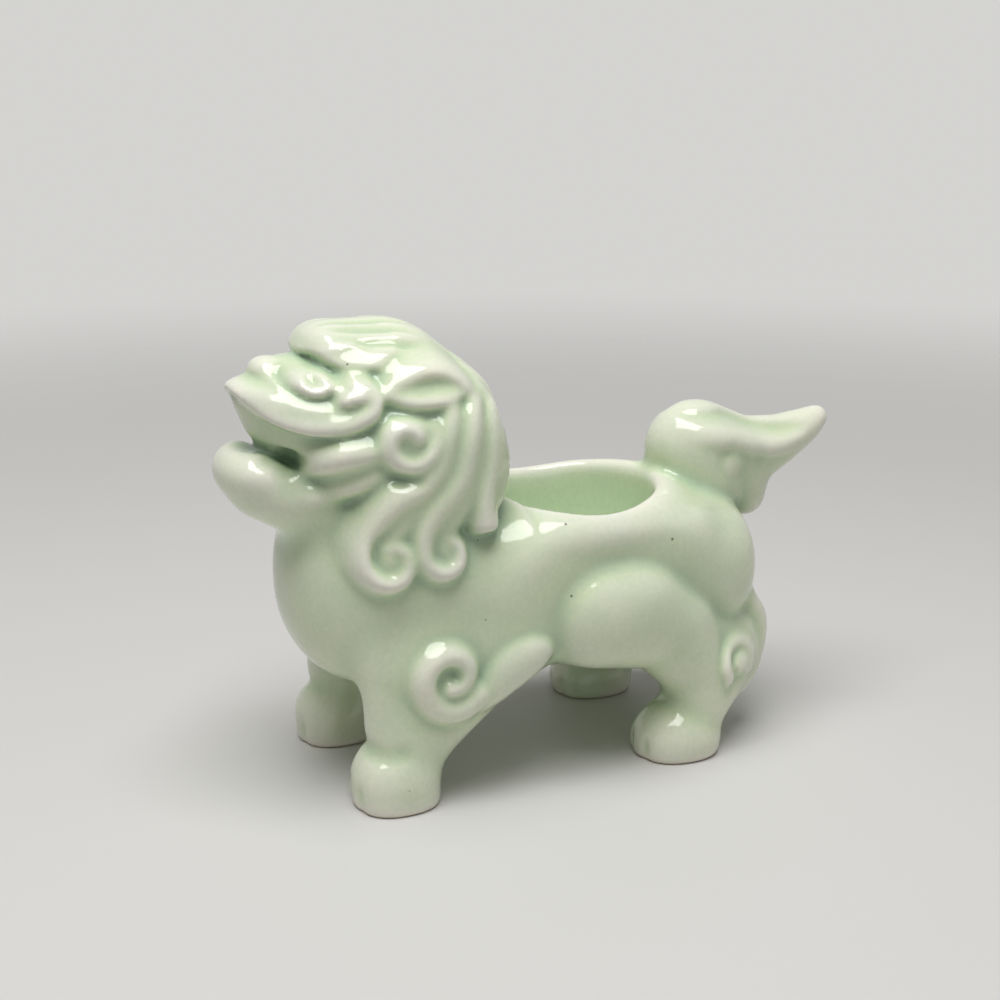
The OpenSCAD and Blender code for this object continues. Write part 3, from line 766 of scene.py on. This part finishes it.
swap = np.arange(len(NAMES), dtype=np.uint8)
for name in SIDED:
    swap[left_of[name]] = right_of[name]
owner = owners()
solid = mirrored(body)
label = np.concatenate([owner, swap[owner[:, ::-1]]], axis=1)
slope = np.stack(np.gradient(solid), axis=-1).astype(np.float32)
LOW = np.array([X[0], Y[0], Z[0]], float)
# How much clay lies round each point: high in creases, where the glaze pools and where shade is painted in as
# a darker tone, low on ridges
mass = np.clip(0.5 - body / STEP, 0, 1)
close, wide = mirrored(blur(mass, soft=1.1)), mirrored(blur(mass, soft=2.8))


# From the grid to meshes


def sample(grid, points):
    """Values of a grid, or of several stacked in the last axis, at points in grid steps."""
    p = np.clip(points, 0, np.array(grid.shape[:3]) - 1.001)
    i = p.astype(int)
    t = p - i
    out = 0
    for dx in (0, 1):
        for dy in (0, 1):
            for dz in (0, 1):
                weight = ((t[:, 0] if dx else 1 - t[:, 0]) * (t[:, 1] if dy else 1 - t[:, 1])
                          * (t[:, 2] if dz else 1 - t[:, 2]))
                value = grid[i[:, 0] + dx, i[:, 1] + dy, i[:, 2] + dz]
                out = out + (weight[:, None] if value.ndim > 1 else weight) * value
    return out


# The meshes are drawn on a wider grid than the fields: NET millimetres, symmetric about Y = 0
NET = 0.85
NET_HALF = 45
SEAM_SOFT = 0.7
net_x = np.arange(X[0], X[-1], NET)
net_y = (np.arange(-NET_HALF, NET_HALF) + 0.5) * NET
net_z = np.arange(Z[0] + 0.3, Z[-1], NET)
NET_LOW = np.array([net_x[0], net_y[0], net_z[0]])
NET_SHAPE = (len(net_x), len(net_y), len(net_z))


def on_net():
    """The solid and the number of the piece at each point of the net, 0 outside the clay."""
    points = np.stack(np.meshgrid(net_x, net_y, net_z, indexing="ij"), -1).reshape(-1, 3)
    points = (points - LOW) / STEP
    field = sample(solid, points).reshape(NET_SHAPE).astype(np.float32)
    near = np.clip(np.rint(points).astype(int), 0, np.array(label.shape) - 1)
    piece = label[near[:, 0], near[:, 1], near[:, 2]].reshape(NET_SHAPE)
    piece[field >= 0] = 0
    return field, piece


def settled(piece):
    """Each point goes to the piece that most of the clay round it belongs to: the seams run smoothly."""
    most = np.zeros(NET_SHAPE, np.float32)
    winner = np.zeros_like(piece)
    for index in range(1, len(NAMES)):
        share = blur((piece == index).astype(np.float32), SEAM_SOFT)
        more = share > most
        most[more] = share[more]
        winner[more] = index
    return np.where(piece > 0, winner, piece)


def border_edges(piece):
    """The grid edges whose ends belong to different pieces, as (axis, first ends, last ends)."""
    edges = []
    for axis in range(3):
        differs = np.diff(piece.astype(np.int16), axis=axis) != 0
        inside = [slice(1, -1)] * 3
        inside[axis] = slice(None)
        border = np.zeros_like(differs)
        border[tuple(inside)] = differs[tuple(inside)]
        start = np.argwhere(border)
        edges.append((axis, start, start + np.eye(3, dtype=int)[axis]))
    return edges


def cells_round(axis, start, cells):
    """The four cells that share each grid edge, in order round it."""
    u, v = (axis + 1) % 3, (axis + 2) % 3
    ring = []
    for du, dv in ((-1, -1), (0, -1), (0, 0), (-1, 0)):
        cell = start.copy()
        cell[:, u] += du
        cell[:, v] += dv
        ring.append(np.ravel_multi_index(cell.T, cells))
    return np.stack(ring, 1)


def surface_nets(piece, field):
    """One vertex in each cell that a border crosses, one quad on each grid edge that a border crosses."""
    margin, seam_weight = 0.02, 1e-4
    cells = tuple(n - 1 for n in piece.shape)
    edges = border_edges(piece)
    rings = [cells_round(axis, start, cells) for axis, start, _ in edges]
    used = np.unique(np.concatenate([ring.ravel() for ring in rings]))
    count = len(used)
    place = np.full(int(np.prod(cells)), -1, np.int64)
    place[used] = np.arange(count)
    total, weight = np.zeros((count, 3)), np.zeros(count)
    outer = np.zeros(count, bool)
    for (axis, start, end), ring in zip(edges, rings):
        f0, f1 = field[tuple(start.T)].astype(float), field[tuple(end.T)].astype(float)
        open_edge = (piece[tuple(start.T)] == 0) | (piece[tuple(end.T)] == 0)
        crossing = np.clip(f0 / np.where(f0 == f1, 1e-9, f0 - f1), margin, 1 - margin)
        p = start.astype(float)
        p[:, axis] += np.where(open_edge, crossing, 0.5)
        w = np.where(open_edge, 1.0, seam_weight)
        for ids in place[ring].T:
            weight += np.bincount(ids, w, count)
            outer |= np.bincount(ids, open_edge, count) > 0
            for d in range(3):
                total[:, d] += np.bincount(ids, w * p[:, d], count)
    quads = place[np.concatenate(rings)]
    first = np.concatenate([piece[tuple(start.T)] for _, start, _ in edges])
    last = np.concatenate([piece[tuple(end.T)] for _, _, end in edges])
    return total / weight[:, None], outer, quads, first, last


def pull_to_surface(verts, outer):
    """Vertices on the outside move to where the solid is zero, in short steps."""
    longest = 0.6
    for _ in range(4):
        p = verts[outer]
        f, g = sample(solid, p), sample(slope, p)
        move = g * (f / np.maximum((g * g).sum(1), 0.02))[:, None]
        far = np.linalg.norm(move, axis=1, keepdims=True)
        verts[outer] = p - move * np.minimum(1, longest / np.maximum(far, 1e-9))


def smooth_seams(verts, outer, quads):
    """The seams between pieces, inside the clay, are smoothed and kept below the surface."""
    cover = 0.5
    pairs = np.concatenate([quads[:, (i, (i + 1) % 4)] for i in range(4)])
    ends = np.concatenate([pairs[:, 0], pairs[:, 1]])
    starts = np.concatenate([pairs[:, 1], pairs[:, 0]])
    count = np.bincount(ends, minlength=len(verts))
    for _ in range(6):
        mean = np.stack([np.bincount(ends, verts[starts, d], len(verts)) / count for d in range(3)], 1)
        verts[~outer] = mean[~outer]
    for _ in range(3):
        p = verts[~outer]
        f, g = sample(solid, p), sample(slope, p)
        verts[~outer] = p - g * (np.maximum(f + cover, 0) / np.maximum((g * g).sum(1), 0.05))[:, None]


def deep_points(verts, deep):
    """A point below the middle of each face, in the clay."""
    depth = 0.6
    p = verts[deep].mean(1)
    g = sample(slope, p)
    return p - g * (depth / STEP / np.maximum(np.linalg.norm(g, axis=1), 0.05))[:, None]


net_solid, net_piece = on_net()
net_piece = settled(net_piece)
verts, outer, quads, first, last = surface_nets(net_piece, net_solid)
verts = (verts * NET + NET_LOW - LOW) / STEP
pull_to_surface(verts, outer)
smooth_seams(verts, outer, quads)

# A seam face that has three or four corners on the surface is split so that it goes down into the clay
seam = (first > 0) & (last > 0)
wet = outer[quads].sum(1) * seam
dry_first = (np.argmin(outer[quads], 1)[:, None] + np.arange(4)) % 4
turned = np.take_along_axis(quads, dry_first, 1)
deep = quads[wet == 4]
deep_id = len(verts) + np.arange(len(deep))
split = [(turned[wet == 3][:, corners], wet == 3) for corners in ((0, 1, 2), (0, 2, 3))]
split += [(np.stack([deep_id, deep[:, i], deep[:, (i + 1) % 4]], 1), wet == 4) for i in range(4)]
verts = np.concatenate([verts, deep_points(verts, deep)])
outer = np.concatenate([outer, np.zeros(len(deep), bool)])
tris = np.concatenate([corners for corners, _ in split])
tri_first = np.concatenate([first[faces] for _, faces in split])
tri_last = np.concatenate([last[faces] for _, faces in split])
quads, first, last = quads[wet < 3], first[wet < 3], last[wet < 3]


# Materials


class Nodes:
    """Short forms for building a node tree."""

    def __init__(self, tree):
        self.nodes, self.links = tree.nodes, tree.links

    def new(self, kind, **settings):
        node = self.nodes.new("ShaderNode" + kind)
        for key, value in settings.items():
            setattr(node, key, value)
        return node

    def feed(self, socket, value):
        """Give an input a value, or link an output to it."""
        if isinstance(value, bpy.types.NodeSocket):
            self.links.new(value, socket)
        else:
            socket.default_value = value

    def fill(self, node, **values):
        for key, value in values.items():
            self.feed(node.inputs[key.replace("_", " ")], value)
        return node

    def math(self, kind, a, b, clamp=False):
        node = self.new("Math", operation=kind, use_clamp=clamp)
        self.feed(node.inputs[0], a)
        self.feed(node.inputs[1], b)
        return node.outputs[0]

    def times(self, a, b):
        return self.math("MULTIPLY", a, b)

    def plus(self, a, b):
        return self.math("ADD", a, b)

    def mix(self, kind, amount, a, b):
        """Two colours mixed. The colour sockets of the node are its inputs 6 and 7 and its output 2."""
        node = self.new("Mix", data_type="RGBA", blend_type=kind)
        self.feed(node.inputs[0], amount)
        self.feed(node.inputs[6], a)
        self.feed(node.inputs[7], b)
        return node.outputs[2]

    def mix_shaders(self, amount, a, b):
        node = self.new("MixShader")
        for socket, value in zip(node.inputs, (amount, a, b)):
            self.feed(socket, value)
        return node.outputs[0]

    def ramp(self, value, *stops):
        node = self.new("ValToRGB")
        elements = node.color_ramp.elements
        elements[0].position, elements[0].color = stops[0]
        elements[1].position, elements[1].color = stops[-1]
        for position, colour in stops[1:-1]:
            elements.new(position).color = colour
        return self.fill(node, Fac=value).outputs["Color"]

    def noise(self, where, scale, detail):
        node = self.fill(self.new("TexNoise"), Vector=where, Scale=scale, Detail=detail, Roughness=0.5)
        return node.outputs["Fac"]


def new_material(name):
    material = bpy.data.materials.new(name)
    material.use_nodes = True
    return material, Nodes(material.node_tree)


# Ramps of (place, colour): the glaze from thin to deep, its deep end also painted shade for the creases, its
# clouds and fine grain, and the clay
GLAZE_AND_SHADE = ((0.16, (0.82, 0.81, 0.71, 1)),
         (0.34, (0.74, 0.78, 0.63, 1)),
         (0.50, (0.62, 0.71, 0.50, 1)),
         (0.64, (0.51, 0.63, 0.43, 1)),
         (0.78, (0.42, 0.55, 0.38, 1)),
         (0.92, (0.32, 0.45, 0.31, 1)))
CLOUDS = ((0.30, (0.93, 0.95, 0.95, 1)), (0.70, (1.04, 1.03, 1.0, 1)))
GRAIN = ((0.35, (0.96, 0.97, 0.97, 1)), (0.65, (1.02, 1.01, 1.0, 1)))
CLAY = ((0.35, (0.55, 0.47, 0.37, 1)), (0.65, (0.70, 0.62, 0.51, 1)))
WELL_GLAZE = (0.70, 0.82, 0.63, 1)
IRON = (0.10, 0.075, 0.045, 1)


def glaze_and_shade_colour(n, where, pool_and_shade, well):
    """Thin and warm white on the ridges, pale green on the flats, deep green where the glaze pools, darkened
    further there as painted shade.
    """
    drift = n.times(n.math("SUBTRACT", n.noise(where, scale=90, detail=4), 0.5), 0.16)
    # Darker with more clay round the point: pooled glaze and painted shade in the creases
    colour = n.ramp(n.plus(pool_and_shade, drift), *GLAZE_AND_SHADE)
    clouds = n.ramp(n.noise(where, scale=38, detail=3), *CLOUDS)
    colour = n.mix("MULTIPLY", 1.0, colour, clouds)
    colour = n.mix("MIX", n.times(well, 0.7), colour, WELL_GLAZE)
    grain = n.ramp(n.noise(where, scale=900, detail=2), *GRAIN)
    return n.mix("MULTIPLY", 1.0, colour, grain)


def iron_specks(n, where):
    """1 in a few small specks and pinholes of the glaze, 0 elsewhere."""
    cells = n.fill(n.new("TexVoronoi", feature="F1"), Vector=where, Scale=150, Randomness=1)
    tint = n.fill(n.new("SeparateColor"), Color=cells.outputs["Color"])
    few = n.math("GREATER_THAN", tint.outputs["Red"], 0.8)
    return n.times(n.math("LESS_THAN", cells.outputs["Distance"], 0.055), few)


def celadon():
    material, n = new_material("celadon_glaze")
    where = n.new("TexCoord").outputs["Object"]
    attribute = n.new("Attribute", attribute_name="glaze")
    tones = n.fill(n.new("SeparateColor"), Color=attribute.outputs["Color"])
    # The red tone darkens the creases: pooled glaze and painted shade
    pool_and_shade, well, foot = (tones.outputs[channel] for channel in ("Red", "Green", "Blue"))
    speck = iron_specks(n, where)
    colour = n.mix("MIX", n.times(speck, 0.75), glaze_and_shade_colour(n, where, pool_and_shade, well), IRON)

    # Bare clay where the paws stand
    clay = n.ramp(n.noise(where, scale=1500, detail=3), *CLAY)
    colour = n.mix("MIX", foot, colour, clay)

    rough = n.plus(n.times(n.noise(where, scale=160, detail=3), 0.08), 0.05)
    rough = n.plus(rough, n.times(speck, 0.3))
    rough = n.math("ADD", rough, n.times(foot, 0.6), clamp=True)

    # The glaze lies in slow ripples over the clay
    waves = n.noise(where, scale=70, detail=2)
    ripples = n.noise(where, scale=420, detail=2)
    height = n.plus(waves, n.times(ripples, 0.12))
    height = n.math("SUBTRACT", height, n.times(speck, 0.3))
    bump = n.fill(n.new("Bump"), Height=height, Strength=0.35, Distance=0.0006)
    n.fill(n.nodes["Principled BSDF"], Base_Color=colour, Roughness=rough, IOR=1.52,
           Normal=bump.outputs["Normal"])
    return material


def floor_paint():
    """Plain pale paint that fades out far from the object."""
    material, n = new_material("floor")
    paint = n.fill(n.nodes["Principled BSDF"], Base_Color=(0.64, 0.632, 0.615, 1), Roughness=0.55)
    distance = n.new("VectorMath", operation="LENGTH")
    n.feed(distance.inputs[0], n.new("TexCoord").outputs["Object"])
    fade = n.new("MapRange", interpolation_type="SMOOTHSTEP")
    n.fill(fade, Value=distance.outputs["Value"], From_Min=0.22, From_Max=0.85)
    clear = n.new("BsdfTransparent")
    surface = n.mix_shaders(fade.outputs["Result"], paint.outputs[0], clear.outputs[0])
    n.fill(n.nodes["Material Output"], Surface=surface)
    return material


# Pieces

glaze = celadon()
WELL_TOP = RIM_Z - 2.0
FOOT_LINE = 0.9


def glaze_tones(at):
    """For each vertex, how much glaze pools there, which also sets the painted shade in creases, and whether
    it is in the well or under a paw.
    """
    place = at * STEP + LOW
    tones = np.ones((len(at), 4), np.float32)
    # Channel 0: pooled glaze and painted shade, high in creases and low on ridges
    tones[:, 0] = np.clip(0.5 + 1.2 * (sample(close, at) - 0.5) + 1.2 * (sample(wide, at) - 0.5), 0, 1)
    away = np.hypot(place[:, 0] - CUP_X, place[:, 1])
    tones[:, 1] = np.clip((CUP_R + 0.6 - away) / 1.2, 0, 1) * np.clip((WELL_TOP - place[:, 2]) / 3, 0, 1)
    tones[:, 2] = np.clip((FOOT_LINE - place[:, 2]) / 0.6, 0, 1)
    return tones


def outer_normals(at, on_surface):
    """Normals from the slope of the field on the outside. On the seams they stay those of the faces."""
    g = sample(slope, at)
    normal = g / np.maximum(np.linalg.norm(g, axis=1, keepdims=True), 1e-9)
    normal[~on_surface] = 0
    return normal


def make_piece(index, name):
    fours = np.concatenate([quads[first == index], quads[last == index][:, ::-1]])
    threes = np.concatenate([tris[tri_first == index], tris[tri_last == index][:, ::-1]])
    used, number = np.unique(np.concatenate([fours.ravel(), threes.ravel()]), return_inverse=True)
    faces = number[:fours.size].reshape(-1, 4).tolist() + number[fours.size:].reshape(-1, 3).tolist()
    at = verts[used]
    mesh = bpy.data.meshes.new(name)
    mesh.from_pydata(((at * STEP + LOW) / MM).tolist(), [], faces)
    mesh.update()
    mesh.materials.append(glaze)
    mesh.polygons.foreach_set("use_smooth", np.ones(len(mesh.polygons), bool))
    mesh.normals_split_custom_set_from_vertices(outer_normals(at, outer[used]).tolist())
    tones = mesh.attributes.new("glaze", "FLOAT_COLOR", "POINT")
    tones.data.foreach_set("color", glaze_tones(at).ravel())
    piece = bpy.data.objects.new(name + "_clay", mesh)
    bpy.context.scene.collection.objects.link(piece)
    return piece


for index, name in enumerate(NAMES):
    if name is None:
        continue
    piece = make_piece(index, name)
    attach(piece, "root")
    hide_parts(name)


# Floor, light and camera, in metres and watts

FLOOR_R = 1.3
KEY_AT, KEY_POWER = (-0.14, -0.14, 0.85), 7.6
FILL_AT, FILL_POWER = (0.6, -0.5, 0.5), 0.3
LAMP_SIZE, LAMP_TARGET = 0.6, (0, 0, 0.05)
CAMERA_AT, CAMERA_AIM = (-0.16415, -0.3358, 0.1620), (0.3987, 0.8788, -0.2622)

bpy.ops.mesh.primitive_circle_add(vertices=96, radius=FLOOR_R, fill_type="NGON", location=(0, 0, 0))
floor = bpy.context.object
floor.name = "floor"
floor.data.materials.append(floor_paint())


def studio_world():
    """The camera and the gloss see a pale backdrop. The world lights the object more softly than that."""
    world = bpy.data.worlds.new("studio")
    world.use_nodes = True
    n = Nodes(world.node_tree)
    light = n.fill(n.nodes["Background"], Color=(1.0, 0.99, 0.97, 1), Strength=0.16)
    backdrop = n.fill(n.new("Background"), Color=(0.66, 0.655, 0.64, 1), Strength=1.0)
    rays = n.new("LightPath").outputs
    seen = n.math("MAXIMUM", rays["Is Camera Ray"], rays["Is Glossy Ray"])
    seen = n.math("MAXIMUM", seen, rays["Is Transmission Ray"])
    surface = n.mix_shaders(seen, light.outputs[0], backdrop.outputs[0])
    n.fill(n.nodes["World Output"], Surface=surface)
    return world


def add_lamp(name, place, power):
    """A square soft light that shines on the middle of the figure."""
    light = bpy.data.lights.new(name, "AREA")
    light.shape = "RECTANGLE"
    light.size = LAMP_SIZE
    light.size_y = LAMP_SIZE
    light.energy = power
    lamp = bpy.data.objects.new(name, light)
    bpy.context.scene.collection.objects.link(lamp)
    lamp.location = place
    lamp.rotation_euler = (Vector(LAMP_TARGET) - Vector(place)).to_track_quat("-Z", "Y").to_euler()


def add_camera(place, aim):
    """The camera of the picture, upright, looking along aim."""
    lens = bpy.data.cameras.new("camera")
    lens.lens = 57.6
    lens.sensor_width = 36.0
    camera = bpy.data.objects.new("camera", lens)
    bpy.context.scene.collection.objects.link(camera)
    forward = Vector(aim).normalized()
    side = forward.cross(Vector((0, 0, 1))).normalized()
    up = side.cross(forward)
    turn = Matrix((side, up, -forward)).transposed().to_4x4()
    camera.matrix_world = Matrix.Translation(place) @ turn
    return camera


bpy.context.scene.world = studio_world()
add_lamp("key", KEY_AT, KEY_POWER)
add_lamp("fill", FILL_AT, FILL_POWER)
bpy.context.scene.camera = add_camera(CAMERA_AT, CAMERA_AIM)
bpy.context.scene.view_settings.view_transform = "Standard"
